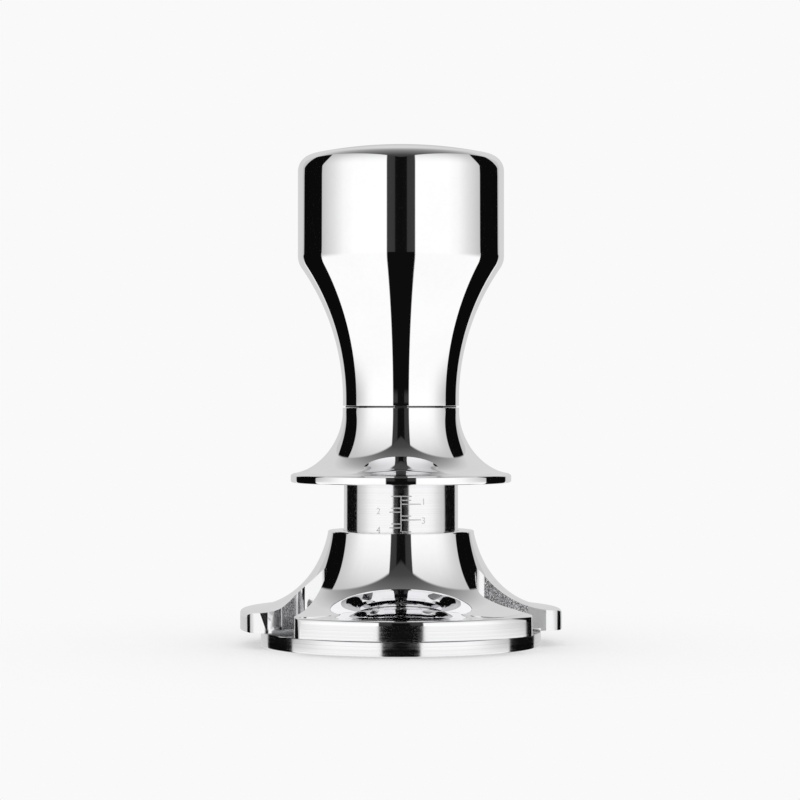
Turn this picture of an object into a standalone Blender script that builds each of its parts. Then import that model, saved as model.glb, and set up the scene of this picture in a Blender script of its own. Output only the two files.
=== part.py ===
"""Spring-calibrated espresso tamper with a self-levelling bell, at rest and standing on its tamping face.

Metres, +Z up. The origin is the centre of the tamping face and the Z axis is the tamper's own axis.
Profiles are written in millimetres as (radius, height) and scaled by MM as they become meshes.
"""

from math import cos, pi, radians, sin, sqrt, tau

import bmesh
import bpy

MM = 0.001

# Driving dimensions, in millimetres
BASE_RADIUS = 29.175  # a 58.35 mm base
BASE_THICKNESS = 2.95
BOSS_RADIUS = 8.0
BOSS_TOP = 6.2
PETAL_RADIUS = 33.5
PETAL_UNDERSIDE = 3.4
PETAL_FACE_TOP = 6.7
LEDGE_RADIUS = 29.7  # inside this the bell's underside is relieved
BELL_TOP = 23.8
BELL_FLARE_RADIUS = 34.0
BELL_FLARE_HEIGHT = 30.0
BELL_FLARE_WIDTH = 19.4
BELL_FLARE_DROP = 22.55
BELL_FLARE_POWER = 2.2
SLOT_WIDTH = 7.4
SLOT_INNER_RADIUS = 19.2
SLOT_CORNER = 2.2
SLOT_MOUTH_FILLET = 4.0
SLOT_SLANT = radians(22.0)
SLOT_MOUTH_ANGLES = [radians(71.2 + 120.0 * turn) for turn in range(3)]
SLEEVE_RADIUS = 11.9
SLEEVE_BORE = 10.4
SLEEVE_FOOT = 20.2
SLEEVE_TOP = 34.4
COLLAR_RADIUS = 23.0
COLLAR_UNDERSIDE = 33.8
COLLAR_RIM_TOP = 35.2
COLLAR_FLARE_RADIUS = 23.3
COLLAR_FLARE_HEIGHT = 48.5
COLLAR_FLARE_WIDTH = 11.15
COLLAR_FLARE_DROP = 12.9
COLLAR_FLARE_POWER = 1.85
NECK_RADIUS = 12.15
SEAM_HEIGHT = 49.55
SEAM_WIDTH = 0.4
SEAM_GASKET_DEPTH = 0.6
GRIP_RADIUS = 21.5
GRIP_WAIST_ARC = 48.0
GRIP_WAIST_HEIGHT = 51.0
GRIP_CORNER_HEIGHT = 79.6
GRIP_CORNER_SOFTNESS = 1.6
GRIP_SHOULDER_FILLET = 3.5
GRIP_DOME_RADIUS = 90.0
TOTAL_HEIGHT = 104.0

SHAFT_RADIUS = 5.0
SHAFT_FLAT = 4.1  # half the distance across the two flats
SHAFT_FLAT_FOOT = 44.5
SHAFT_SHOULDER = 58.2
SHAFT_STUD_RADIUS = 3.0
SHAFT_TIP_RADIUS = 4.0
SHAFT_TOP = 66.5
CIRCLIP_GROOVE = (43.1, 44.2)
CIRCLIP_GROOVE_RADIUS = 4.5
RUNNING_CLEARANCE = 0.1
SPIGOT_RADIUS = 9.3
SPIGOT_TOP = 57.5
SPRING_CHAMBER_RADIUS = 9.5
SPRING_CHAMBER_TOP = 81.6
BUSH_RADIUS = 7.5
BUSH_FOOT = 7.6
BUSH_TOP = 21.4
BUSH_FLANGE_RADIUS = 9.6
BUSH_FLANGE_FOOT = 20.2
BUSH_GROOVE = (8.2, 9.3)
BUSH_GROOVE_DEPTH = 0.6
BELL_HUB = (10.0, 20.0)  # where the bell bears on the bush
BELL_RELIEF_RADIUS = 10.6
BELL_RELIEF_DEPTH = 0.5
SLEEVE_GROOVE = (20.9, 21.9)
SLEEVE_GROOVE_DEPTH = 0.6
COLLAR_SLEEVE_GAP = 0.25
COLLAR_RECESS_TOP = 44.1  # the sleeve rises inside the collar
COLLAR_SPRING_BORE = 9.6
COLLAR_SPRING_TOP = 47.7
NECK_BORE = 7.05
NECK_BUSH_FLANGE = 8.2
WASHER_THICKNESS = 0.7
BUMPER_THICKNESS = 1.1
STOP_THICKNESS = 1.0
PISTON_LIFT = 0.3  # above the shaft's shoulder
PISTON_RADIUS = 8.7
PISTON_HEIGHT = 2.7
PISTON_GROOVE = (0.7, 2.0)
PISTON_GROOVE_DEPTH = 0.8
NUT_RADIUS = 5.9
NUT_HEIGHT = 3.6
CAP_BORE = 4.6
CAP_THICKNESS = 1.5
MAIN_SPRING_RADIUS = 7.6
MAIN_SPRING_WIRE = 0.95
MAIN_SPRING_TURNS = 6
LEVELLING_SPRING_RADIUS = 7.5
LEVELLING_SPRING_WIRE = 0.65
LEVELLING_SPRING_TURNS = 7

SEAT_GAP = 0.1  # between pieces that rest on each other
STUD_CLEARANCE = 0.15
EDGE_BREAK = 0.3
SEAM_EDGE_BREAK = 0.16
BLIND_BORE_FOOT = 1.6
STUD_FOOT = 1.9

FINE_STEPS = 48
OUTER_STEPS = 36
INNER_STEPS = 20
COIL_POINTS_PER_TURN = 10


def clear_scene():
    for obj in list(bpy.data.objects):
        bpy.data.objects.remove(obj, do_unlink=True)


def new_collection(name):
    collection = bpy.data.collections.new(name)
    bpy.context.scene.collection.children.link(collection)
    return collection


def finish_material(name, colour, roughness, metallic):
    material = bpy.data.materials.new(name)
    material.use_nodes = True
    shader = material.node_tree.nodes["Principled BSDF"]
    shader.inputs["Base Color"].default_value = (*colour, 1.0)
    shader.inputs["Roughness"].default_value = roughness
    shader.inputs["Metallic"].default_value = metallic
    return material


def mirror_steel(name):
    return finish_material(name, (0.86, 0.86, 0.87), 0.05, 1.0)


def turned_steel(name):
    return finish_material(name, (0.62, 0.63, 0.65), 0.25, 1.0)


def spring_steel(name):
    return finish_material(name, (0.42, 0.43, 0.45), 0.3, 1.0)


def bronze(name):
    return finish_material(name, (0.66, 0.46, 0.24), 0.35, 1.0)


def nylon(name):
    return finish_material(name, (0.86, 0.85, 0.80), 0.5, 0.0)


def black_rubber(name):
    return finish_material(name, (0.02, 0.02, 0.02), 0.7, 0.0)


def turned(name, profile, material, parent, steps=INNER_STEPS, closed=True, smooth=True):
    """A profile of (radius, height) spun about Z. It runs down its outer side; a closed one makes a ring."""
    count = len(profile)
    points = [(radius * MM, 0.0, height * MM) for radius, height in profile]
    edges = [(i, (i + 1) % count) for i in range(count if closed else count - 1)]
    mesh = bpy.data.meshes.new(name)
    mesh.from_pydata(points, edges, [])
    obj = bpy.data.objects.new(name, mesh)
    parts.objects.link(obj)
    screw = obj.modifiers.new("spin", "SCREW")
    screw.steps = steps
    screw.render_steps = steps
    screw.use_merge_vertices = True
    screw.merge_threshold = 0.00001
    screw.use_smooth_shade = smooth
    if material:
        mesh.materials.append(material)
    obj.parent = parent
    return obj


def as_cutter(obj):
    """Moves an object to the cutters, where it shapes others and isn't a part."""
    for collection in list(obj.users_collection):
        collection.objects.unlink(obj)
    cutters.objects.link(obj)
    obj.hide_render = True
    obj.display_type = "WIRE"
    return obj


def box_cutter(name, low, high):
    """A box between two corners, in millimetres."""
    mesh = bpy.data.meshes.new(name)
    shape = bmesh.new()
    bmesh.ops.create_cube(shape, size=1.0)
    for vertex in shape.verts:
        vertex.co = [MM * (low[i] if vertex.co[i] < 0 else high[i]) for i in range(3)]
    shape.to_mesh(mesh)
    shape.free()
    obj = bpy.data.objects.new(name, mesh)
    parts.objects.link(obj)
    return as_cutter(obj)


def cut(obj, cutter, operation="DIFFERENCE"):
    boolean = obj.modifiers.new(cutter.name, "BOOLEAN")
    boolean.operation = operation
    boolean.solver = "EXACT"
    boolean.object = cutter


def ring(name, inner, outer, low, high, material, parent, steps=INNER_STEPS):
    """A plain square-edged ring."""
    profile = [(outer, high), (outer, low), (inner, low), (inner, high)]
    return turned(name, profile, material, parent, steps, smooth=False)


def o_ring(name, middle, section, height, material, parent):
    """A ring of round section, six-sided."""
    turns = [pi / 2 - tau * i / 6 for i in range(6)]
    profile = [(middle + section * cos(turn), height + section * sin(turn)) for turn in turns]
    return turned(name, profile, material, parent)


def circlip(name, inner, outer, low, high, parent):
    """A flat retaining ring with a gap on its +X side, which lets it spring open."""
    clip = ring(name, inner, outer, low, high, spring_steel(name), parent)
    gap = 0.3 * outer
    cut(clip, box_cutter(name + "_gap", (0.5 * inner, -gap, low - 1), (outer + 1, gap, high + 1)))
    return clip


def coil(name, middle, wire, low, high, turns, material, parent):
    """A compression spring between two heights, whose first and last turn lie closed against their seats."""
    count = int(turns * COIL_POINTS_PER_TURN) + 1
    foot = low + wire
    travel = high - low - 2 * wire
    closed_pitch = 2 * wire + 0.15
    open_turns = turns - 2
    open_pitch = (travel - 2 * closed_pitch) / open_turns
    curve = bpy.data.curves.new(name, "CURVE")
    curve.dimensions = "3D"
    curve.bevel_depth = wire * MM
    curve.bevel_resolution = 2
    curve.use_fill_caps = True
    spline = curve.splines.new("POLY")
    spline.points.add(count - 1)
    for i, point in enumerate(spline.points):
        turn = i / COIL_POINTS_PER_TURN
        rise = closed_pitch * (min(turn, 1) + max(turn - 1 - open_turns, 0))
        rise += open_pitch * min(max(turn - 1, 0), open_turns)
        angle = tau * turn
        point.co = (middle * MM * cos(angle), middle * MM * sin(angle), (foot + rise) * MM, 1)
    curve.materials.append(material)
    obj = bpy.data.objects.new(name, curve)
    parts.objects.link(obj)
    obj.parent = parent
    return obj


def arc(centre, radius, start, end, count):
    """Points on an arc from one angle to another, in degrees from +radius towards +height."""
    points = []
    for i in range(count):
        angle = radians(start + (end - start) * i / (count - 1))
        points.append((centre[0] + radius * cos(angle), centre[1] + radius * sin(angle)))
    return points


def flare_radius(height, middle_radius, middle_height, width, drop, power):
    """Radius of a concave flare: the inner quarter of a superellipse about (middle_radius, middle_height)."""
    fall = min((middle_height - height) / drop, 1.0)
    return middle_radius - width * (1.0 - fall**power) ** (1.0 / power)


def bell_radius(height):
    return flare_radius(
        height,
        BELL_FLARE_RADIUS,
        BELL_FLARE_HEIGHT,
        BELL_FLARE_WIDTH,
        BELL_FLARE_DROP,
        BELL_FLARE_POWER,
    )


def collar_radius(height):
    return flare_radius(
        height,
        COLLAR_FLARE_RADIUS,
        COLLAR_FLARE_HEIGHT,
        COLLAR_FLARE_WIDTH,
        COLLAR_FLARE_DROP,
        COLLAR_FLARE_POWER,
    )


def grip_waist_radius(height):
    rise = height - GRIP_WAIST_HEIGHT
    centre = NECK_RADIUS + GRIP_WAIST_ARC
    return centre - sqrt(GRIP_WAIST_ARC**2 - rise**2)


# Base assembly, which stands still


def tamping_base():
    bore = SHAFT_STUD_RADIUS + STUD_CLEARANCE
    profile = [
        (BOSS_RADIUS - EDGE_BREAK, BOSS_TOP),
        (BOSS_RADIUS, BOSS_TOP - EDGE_BREAK),
        (BOSS_RADIUS, BASE_THICKNESS),
        (BASE_RADIUS - EDGE_BREAK, BASE_THICKNESS),
        (BASE_RADIUS, BASE_THICKNESS - EDGE_BREAK),
        (BASE_RADIUS, EDGE_BREAK),
        (BASE_RADIUS - EDGE_BREAK, 0.0),
        (0.0, 0.0),
        (0.0, BLIND_BORE_FOOT),
        (bore, BLIND_BORE_FOOT),
        (bore, BOSS_TOP),
    ]
    return turned("tamping_base", profile, turned_steel("tamping_base"), None, FINE_STEPS)


def centre_shaft():
    groove_low, groove_high = CIRCLIP_GROOVE
    shoulder = BOSS_TOP + SEAT_GAP + WASHER_THICKNESS + SEAT_GAP
    profile = [
        (0.0, SHAFT_TOP),
        (SHAFT_TIP_RADIUS - EDGE_BREAK, SHAFT_TOP),
        (SHAFT_TIP_RADIUS, SHAFT_TOP - EDGE_BREAK),
        (SHAFT_TIP_RADIUS, SHAFT_SHOULDER),
        (SHAFT_RADIUS, SHAFT_SHOULDER),
        (SHAFT_RADIUS, groove_high),
        (CIRCLIP_GROOVE_RADIUS, groove_high),
        (CIRCLIP_GROOVE_RADIUS, groove_low),
        (SHAFT_RADIUS, groove_low),
        (SHAFT_RADIUS, shoulder),
        (SHAFT_STUD_RADIUS, shoulder),
        (SHAFT_STUD_RADIUS, STUD_FOOT),
        (0.0, STUD_FOOT),
    ]
    shaft = turned("centre_shaft", profile, turned_steel("centre_shaft"), None, closed=False)
    reach = SHAFT_RADIUS + 2
    for side in (-1, 1):
        low = min(side * SHAFT_FLAT, side * reach)
        high = max(side * SHAFT_FLAT, side * reach)
        name = "shaft_flat_left" if side < 0 else "shaft_flat_right"
        cut(shaft, box_cutter(name, (low, -reach, SHAFT_FLAT_FOOT), (high, reach, SHAFT_SHOULDER + 0.01)))
    return shaft


def stud_lock_washer():
    foot = BOSS_TOP + SEAT_GAP
    bore = SHAFT_STUD_RADIUS + STUD_CLEARANCE
    rim = SHAFT_RADIUS - SEAT_GAP
    steel = spring_steel("stud_lock_washer")
    return ring("stud_lock_washer", bore, rim, foot, foot + WASHER_THICKNESS, steel, None)


def base_bumper():
    foot = BOSS_TOP + SEAT_GAP
    bore = SHAFT_RADIUS + 2 * SEAT_GAP
    rim = BUSH_RADIUS - SEAT_GAP
    return ring("base_bumper", bore, rim, foot, foot + BUMPER_THICKNESS, black_rubber("base_bumper"), None)


def levelling_spring_stop():
    high = CIRCLIP_GROOVE[0] - SEAT_GAP
    return ring(
        "levelling_spring_stop",
        SHAFT_RADIUS + STUD_CLEARANCE,
        9.0,
        high - STOP_THICKNESS,
        high,
        turned_steel("levelling_spring_stop"),
        None,
    )


def shaft_circlip():
    low, high = CIRCLIP_GROOVE
    bore = CIRCLIP_GROOVE_RADIUS + SEAT_GAP
    return circlip("shaft_circlip", bore, 6.9, low + SEAT_GAP, high - SEAT_GAP, None)


def spring_piston():
    foot = SHAFT_SHOULDER + PISTON_LIFT
    groove_low, groove_high = foot + PISTON_GROOVE[0], foot + PISTON_GROOVE[1]
    groove_radius = PISTON_RADIUS - PISTON_GROOVE_DEPTH
    bore = SHAFT_TIP_RADIUS + SEAT_GAP
    profile = [
        (PISTON_RADIUS, foot + PISTON_HEIGHT),
        (PISTON_RADIUS, groove_high),
        (groove_radius, groove_high),
        (groove_radius, groove_low),
        (PISTON_RADIUS, groove_low),
        (PISTON_RADIUS, foot),
        (bore, foot),
        (bore, foot + PISTON_HEIGHT),
    ]
    return turned("spring_piston", profile, turned_steel("spring_piston"), None, smooth=False)


def piston_ring():
    height = SHAFT_SHOULDER + PISTON_LIFT + sum(PISTON_GROOVE) / 2
    middle = PISTON_RADIUS - 0.05
    return o_ring("piston_ring", middle, 0.55, height, black_rubber("piston_ring"), None)


def shaft_nut():
    foot = SHAFT_SHOULDER + PISTON_LIFT + PISTON_HEIGHT + SEAT_GAP
    top = foot + NUT_HEIGHT
    nut = turned(
        "shaft_nut",
        [(0.0, top), (NUT_RADIUS, top), (NUT_RADIUS, foot), (0.0, foot)],
        turned_steel("shaft_nut"),
        None,
        steps=6,
        closed=False,
        smooth=False,
    )
    bore = SHAFT_TIP_RADIUS + SEAT_GAP
    profile = [(0.0, top + 1), (bore, top + 1), (bore, foot - 1), (0.0, foot - 1)]
    cut(nut, as_cutter(turned("shaft_nut_bore", profile, None, None, closed=False)))
    return nut


# Handle assembly, which is pressed down on the shaft against the calibrated spring


def handle_grip(axis):
    corner_start = GRIP_CORNER_HEIGHT - GRIP_CORNER_SOFTNESS
    corner_end = GRIP_CORNER_HEIGHT + GRIP_CORNER_SOFTNESS
    dome_centre = TOTAL_HEIGHT - GRIP_DOME_RADIUS
    fillet_centre = GRIP_RADIUS - GRIP_SHOULDER_FILLET
    fillet_height = dome_centre + sqrt((GRIP_DOME_RADIUS - GRIP_SHOULDER_FILLET) ** 2 - fillet_centre**2)
    tilt = 90 - (180 / pi) * (fillet_centre / (GRIP_DOME_RADIUS - GRIP_SHOULDER_FILLET))
    foot = SEAM_HEIGHT + SEAM_WIDTH / 2
    profile = [(0.0, TOTAL_HEIGHT)]
    for i in range(1, 4):
        radius = (GRIP_RADIUS - GRIP_SHOULDER_FILLET) * i / 4
        profile.append((radius, dome_centre + sqrt(GRIP_DOME_RADIUS**2 - radius**2)))
    profile += arc((fillet_centre, fillet_height), GRIP_SHOULDER_FILLET, tilt, 0, 5)
    profile.append((GRIP_RADIUS, corner_end))
    profile.append(((GRIP_RADIUS + grip_waist_radius(corner_start)) / 2 + 0.25, GRIP_CORNER_HEIGHT + 0.1))
    waist_points = 11
    for i in range(waist_points):
        height = corner_start + (GRIP_WAIST_HEIGHT - corner_start) * i / (waist_points - 1)
        profile.append((grip_waist_radius(height), height))
    profile += [
        (NECK_RADIUS, foot + SEAM_EDGE_BREAK),
        (NECK_RADIUS - SEAM_EDGE_BREAK, foot),
        (SPRING_CHAMBER_RADIUS, foot),
        (SPRING_CHAMBER_RADIUS, SPRING_CHAMBER_TOP),
        (0.0, SPRING_CHAMBER_TOP),
    ]
    return turned("handle_grip", profile, mirror_steel("handle_grip"), axis, OUTER_STEPS)


def collar(axis):
    top = SEAM_HEIGHT - SEAM_WIDTH / 2
    profile = [
        (SPIGOT_RADIUS - EDGE_BREAK, SPIGOT_TOP),
        (SPIGOT_RADIUS, SPIGOT_TOP - EDGE_BREAK),
        (SPIGOT_RADIUS, top),
        (NECK_RADIUS - SEAM_EDGE_BREAK, top),
        (NECK_RADIUS, top - SEAM_EDGE_BREAK),
    ]
    flare_top = COLLAR_FLARE_HEIGHT - 0.5
    flare_foot = COLLAR_FLARE_HEIGHT - COLLAR_FLARE_DROP + 0.02
    flare_points = 11
    for i in range(flare_points):
        share = i / (flare_points - 1)
        height = flare_top + (flare_foot - flare_top) * (1 - (1 - share) ** 1.8)
        profile.append((collar_radius(height), height))
    recess = SLEEVE_RADIUS + COLLAR_SLEEVE_GAP
    profile += [
        (COLLAR_RADIUS, COLLAR_RIM_TOP - EDGE_BREAK),
        (COLLAR_RADIUS, COLLAR_UNDERSIDE + EDGE_BREAK),
        (COLLAR_RADIUS - EDGE_BREAK, COLLAR_UNDERSIDE),
        (recess, COLLAR_UNDERSIDE),
        (recess, COLLAR_RECESS_TOP),
        (COLLAR_SPRING_BORE, COLLAR_RECESS_TOP),
        (COLLAR_SPRING_BORE, COLLAR_SPRING_TOP),
        (NECK_BORE, COLLAR_SPRING_TOP),
        (NECK_BORE, SPIGOT_TOP),
    ]
    return turned("collar", profile, mirror_steel("collar"), axis, OUTER_STEPS)


def seam_gasket(axis):
    half = SEAM_WIDTH / 2 - 0.05
    return ring(
        "seam_gasket",
        SPIGOT_RADIUS + SEAT_GAP,
        NECK_RADIUS - SEAM_GASKET_DEPTH,
        SEAM_HEIGHT - half,
        SEAM_HEIGHT + half,
        black_rubber("seam_gasket"),
        axis,
        OUTER_STEPS,
    )


def neck_bush(axis):
    """A flanged nylon bush whose bore has the shaft's two flats, so the handle turns the base with it."""
    foot = COLLAR_SPRING_TOP + 2 * SEAT_GAP
    top = SHAFT_SHOULDER
    flange_foot = SPIGOT_TOP + SEAT_GAP
    rim = NECK_BORE - SEAT_GAP
    outline = [
        (0.0, top),
        (NECK_BUSH_FLANGE, top),
        (NECK_BUSH_FLANGE, flange_foot),
        (rim, flange_foot),
        (rim, foot),
        (0.0, foot),
    ]
    bush = turned("neck_bush", outline, nylon("neck_bush"), axis, closed=False, smooth=False)
    bore = SHAFT_RADIUS + RUNNING_CLEARANCE
    half = SHAFT_FLAT + RUNNING_CLEARANCE
    profile = [(0.0, top + 1), (bore, top + 1), (bore, foot - 1), (0.0, foot - 1)]
    keyway = as_cutter(turned("neck_bush_bore", profile, None, None, closed=False))
    cut(keyway, box_cutter("neck_bush_flats", (-half, -9, foot - 2), (half, 9, top + 2)), "INTERSECT")
    cut(bush, keyway)
    return bush


def spring_cap(axis):
    rim = SPRING_CHAMBER_RADIUS - EDGE_BREAK
    top = SPRING_CHAMBER_TOP - 2 * SEAT_GAP
    steel = turned_steel("spring_cap")
    return ring("spring_cap", CAP_BORE, rim, top - CAP_THICKNESS, top, steel, axis)


def main_spring(axis):
    return coil(
        "main_spring",
        MAIN_SPRING_RADIUS,
        MAIN_SPRING_WIRE,
        SHAFT_SHOULDER + PISTON_LIFT + PISTON_HEIGHT + 2 * SEAT_GAP,
        SPRING_CHAMBER_TOP - CAP_THICKNESS - 4 * SEAT_GAP,
        MAIN_SPRING_TURNS,
        spring_steel("main_spring"),
        axis,
    )


# Leveller: a bush that slides on the shaft, with the bell that spins on the bush


def guide_bush(axis):
    bore = SHAFT_RADIUS + RUNNING_CLEARANCE
    groove_low, groove_high = BUSH_GROOVE
    groove_radius = BUSH_RADIUS - BUSH_GROOVE_DEPTH
    profile = [
        (BUSH_FLANGE_RADIUS, BUSH_TOP),
        (BUSH_FLANGE_RADIUS, BUSH_FLANGE_FOOT),
        (BUSH_RADIUS, BUSH_FLANGE_FOOT),
        (BUSH_RADIUS, groove_high),
        (groove_radius, groove_high),
        (groove_radius, groove_low),
        (BUSH_RADIUS, groove_low),
        (BUSH_RADIUS, BUSH_FOOT),
        (bore, BUSH_FOOT),
        (bore, BUSH_TOP),
    ]
    return turned("guide_bush", profile, bronze("guide_bush"), axis, smooth=False)


def bush_circlip(axis):
    low, high = BUSH_GROOVE
    bore = BUSH_RADIUS - BUSH_GROOVE_DEPTH + SEAT_GAP
    return circlip("bush_circlip", bore, 9.0, low + SEAT_GAP, high - SEAT_GAP, axis)


def thrust_washer(axis):
    bore = BUSH_RADIUS + STUD_CLEARANCE
    top = BELL_HUB[0] - 0.15
    return ring("thrust_washer", bore, 9.8, top - 0.5, top, nylon("thrust_washer"), axis)


def levelling_spring(axis):
    foot = BUSH_TOP + 0.15
    top = CIRCLIP_GROOVE[0] - STOP_THICKNESS - 2 * SEAT_GAP
    return coil(
        "levelling_spring",
        LEVELLING_SPRING_RADIUS,
        LEVELLING_SPRING_WIRE,
        foot,
        top,
        LEVELLING_SPRING_TURNS,
        spring_steel("levelling_spring"),
        axis,
    )


def slot_outline(mouth_angle):
    """Outline of one slot, seen from above: straight sides, a round-cornered inner end and a filleted mouth.

    The slot runs along u, at a slant to the radius through the middle of its mouth, and v is across it.
    The bell's axis lies at (-along, -across) from the middle of the mouth in those directions.
    """
    along = PETAL_RADIUS * cos(SLOT_SLANT)
    across = -PETAL_RADIUS * sin(SLOT_SLANT)
    half = SLOT_WIDTH / 2
    inner = sqrt(SLOT_INNER_RADIUS**2 - across**2) - along
    outline = []
    for side in (-1, 1):
        corner = (inner + SLOT_CORNER, side * (half - SLOT_CORNER))
        inner_end = [
            (corner[0] - SLOT_CORNER * sin(turn), corner[1] + side * SLOT_CORNER * cos(turn))
            for turn in (pi / 2, pi / 4, 0.0)
        ]
        fillet_v = side * (half + SLOT_MOUTH_FILLET)
        reach = PETAL_RADIUS - SLOT_MOUTH_FILLET
        fillet_u = sqrt(reach**2 - (fillet_v + across) ** 2) - along
        meets_rim = (fillet_u + along, fillet_v + across)
        outward = (meets_rim[0] / reach, meets_rim[1] / reach)
        steps = 5
        mouth = []
        for i in range(steps + 1):
            share = i / steps
            lean = (share * outward[0], -side * (1 - share) + share * outward[1])
            size = sqrt(lean[0] ** 2 + lean[1] ** 2)
            mouth.append(
                (fillet_u + SLOT_MOUTH_FILLET * lean[0] / size, fillet_v + SLOT_MOUTH_FILLET * lean[1] / size)
            )
        beyond = (mouth[-1][0] + 4 * outward[0], mouth[-1][1] + 4 * outward[1])
        half_outline = inner_end + mouth + [beyond]
        outline += half_outline if side > 0 else half_outline[::-1]
    heading = mouth_angle - pi / 2 + SLOT_SLANT
    middle = (PETAL_RADIUS * cos(mouth_angle - pi / 2), PETAL_RADIUS * sin(mouth_angle - pi / 2))
    return [
        (middle[0] + u * cos(heading) - v * sin(heading), middle[1] + u * sin(heading) + v * cos(heading))
        for u, v in outline
    ]


def slot_cutter(name, mouth_angle):
    """The slot's outline as a prism through the bell."""
    outline = slot_outline(mouth_angle)
    shape = bmesh.new()
    foot = [shape.verts.new((x * MM, y * MM, 1.0 * MM)) for x, y in outline]
    face = shape.faces.new(foot)
    lifted = bmesh.ops.extrude_face_region(shape, geom=[face])
    top = [item for item in lifted["geom"] if isinstance(item, bmesh.types.BMVert)]
    bmesh.ops.translate(shape, verts=top, vec=(0.0, 0.0, 28.0 * MM))
    bmesh.ops.recalc_face_normals(shape, faces=shape.faces)
    mesh = bpy.data.meshes.new(name)
    shape.to_mesh(mesh)
    shape.free()
    obj = bpy.data.objects.new(name, mesh)
    parts.objects.link(obj)
    return as_cutter(obj)


def levelling_bell(axis):
    hub_foot, hub_top = BELL_HUB
    hub_bore = BUSH_RADIUS + RUNNING_CLEARANCE
    counterbore = SLEEVE_RADIUS + 0.15
    relief_top = PETAL_UNDERSIDE + BELL_RELIEF_DEPTH
    profile = [(bell_radius(BELL_TOP) - EDGE_BREAK, BELL_TOP)]
    flare_top = BELL_TOP - EDGE_BREAK
    flare_foot = BELL_FLARE_HEIGHT - BELL_FLARE_DROP + 0.12
    flare_points = 10
    for i in range(flare_points):
        share = i / (flare_points - 1)
        height = flare_top + (flare_foot - flare_top) * (1 - (1 - share) ** 1.7)
        profile.append((bell_radius(height), height))
    profile += [
        (PETAL_RADIUS - 0.35, PETAL_FACE_TOP + 0.45),
        (PETAL_RADIUS, PETAL_FACE_TOP),
        (PETAL_RADIUS, PETAL_UNDERSIDE + 0.2),
        (PETAL_RADIUS - 0.2, PETAL_UNDERSIDE),
        (LEDGE_RADIUS, PETAL_UNDERSIDE),
        (LEDGE_RADIUS, relief_top),
        (BELL_RELIEF_RADIUS, relief_top),
        (BELL_RELIEF_RADIUS, hub_foot),
        (hub_bore, hub_foot),
        (hub_bore, hub_top),
        (counterbore, hub_top),
        (counterbore, BELL_TOP),
    ]
    bell = turned("levelling_bell", profile, mirror_steel("levelling_bell"), axis, FINE_STEPS)
    for number, angle in enumerate(SLOT_MOUTH_ANGLES):
        cut(bell, slot_cutter(f"bell_slot_{number + 1}", angle))
    return bell


def scale_sleeve(axis):
    groove_low, groove_high = SLEEVE_GROOVE
    groove_radius = SLEEVE_RADIUS - SLEEVE_GROOVE_DEPTH
    profile = [
        (SLEEVE_RADIUS - EDGE_BREAK, SLEEVE_TOP),
        (SLEEVE_RADIUS, SLEEVE_TOP - EDGE_BREAK),
        (SLEEVE_RADIUS, groove_high),
        (groove_radius, groove_high),
        (groove_radius, groove_low),
        (SLEEVE_RADIUS, groove_low),
        (SLEEVE_RADIUS, SLEEVE_FOOT),
        (SLEEVE_BORE, SLEEVE_FOOT),
        (SLEEVE_BORE, SLEEVE_TOP),
    ]
    return turned("scale_sleeve", profile, mirror_steel("scale_sleeve"), axis, OUTER_STEPS, smooth=False)


def sleeve_seal(axis):
    """A square ring that grips the sleeve's foot in the bell's counterbore."""
    return ring(
        "sleeve_seal",
        SLEEVE_RADIUS - SLEEVE_GROOVE_DEPTH + 0.05,
        SLEEVE_RADIUS + 0.05,
        SLEEVE_GROOVE[0] + SEAT_GAP,
        SLEEVE_GROOVE[1] - SEAT_GAP,
        black_rubber("sleeve_seal"),
        axis,
        OUTER_STEPS,
    )


def joint_axis(name, parent=None):
    """An empty on the tamper's axis, which its moving pieces hang from."""
    empty = bpy.data.objects.new(name, None)
    empty.empty_display_size = 0.01
    parts.objects.link(empty)
    empty.parent = parent
    return empty


clear_scene()
parts = new_collection("espresso_tamper")
cutters = new_collection("cutters")

tamping_base()
centre_shaft()
stud_lock_washer()
base_bumper()
levelling_spring_stop()
shaft_circlip()
spring_piston()
piston_ring()
shaft_nut()

handle_axis = joint_axis("handle_axis")
handle_grip(handle_axis)
collar(handle_axis)
seam_gasket(handle_axis)
neck_bush(handle_axis)
spring_cap(handle_axis)
main_spring(handle_axis)

leveller_axis = joint_axis("leveller_axis")
guide_bush(leveller_axis)
bush_circlip(leveller_axis)
thrust_washer(leveller_axis)
levelling_spring(leveller_axis)

bell_axis = joint_axis("bell_axis", leveller_axis)
levelling_bell(bell_axis)
scale_sleeve(bell_axis)
sleeve_seal(bell_axis)
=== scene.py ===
"""Looks of the espresso tamper: mirror-polished steel pieces turned about one axis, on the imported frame."""

from math import acos, atan2, pi, radians, tau

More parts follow.
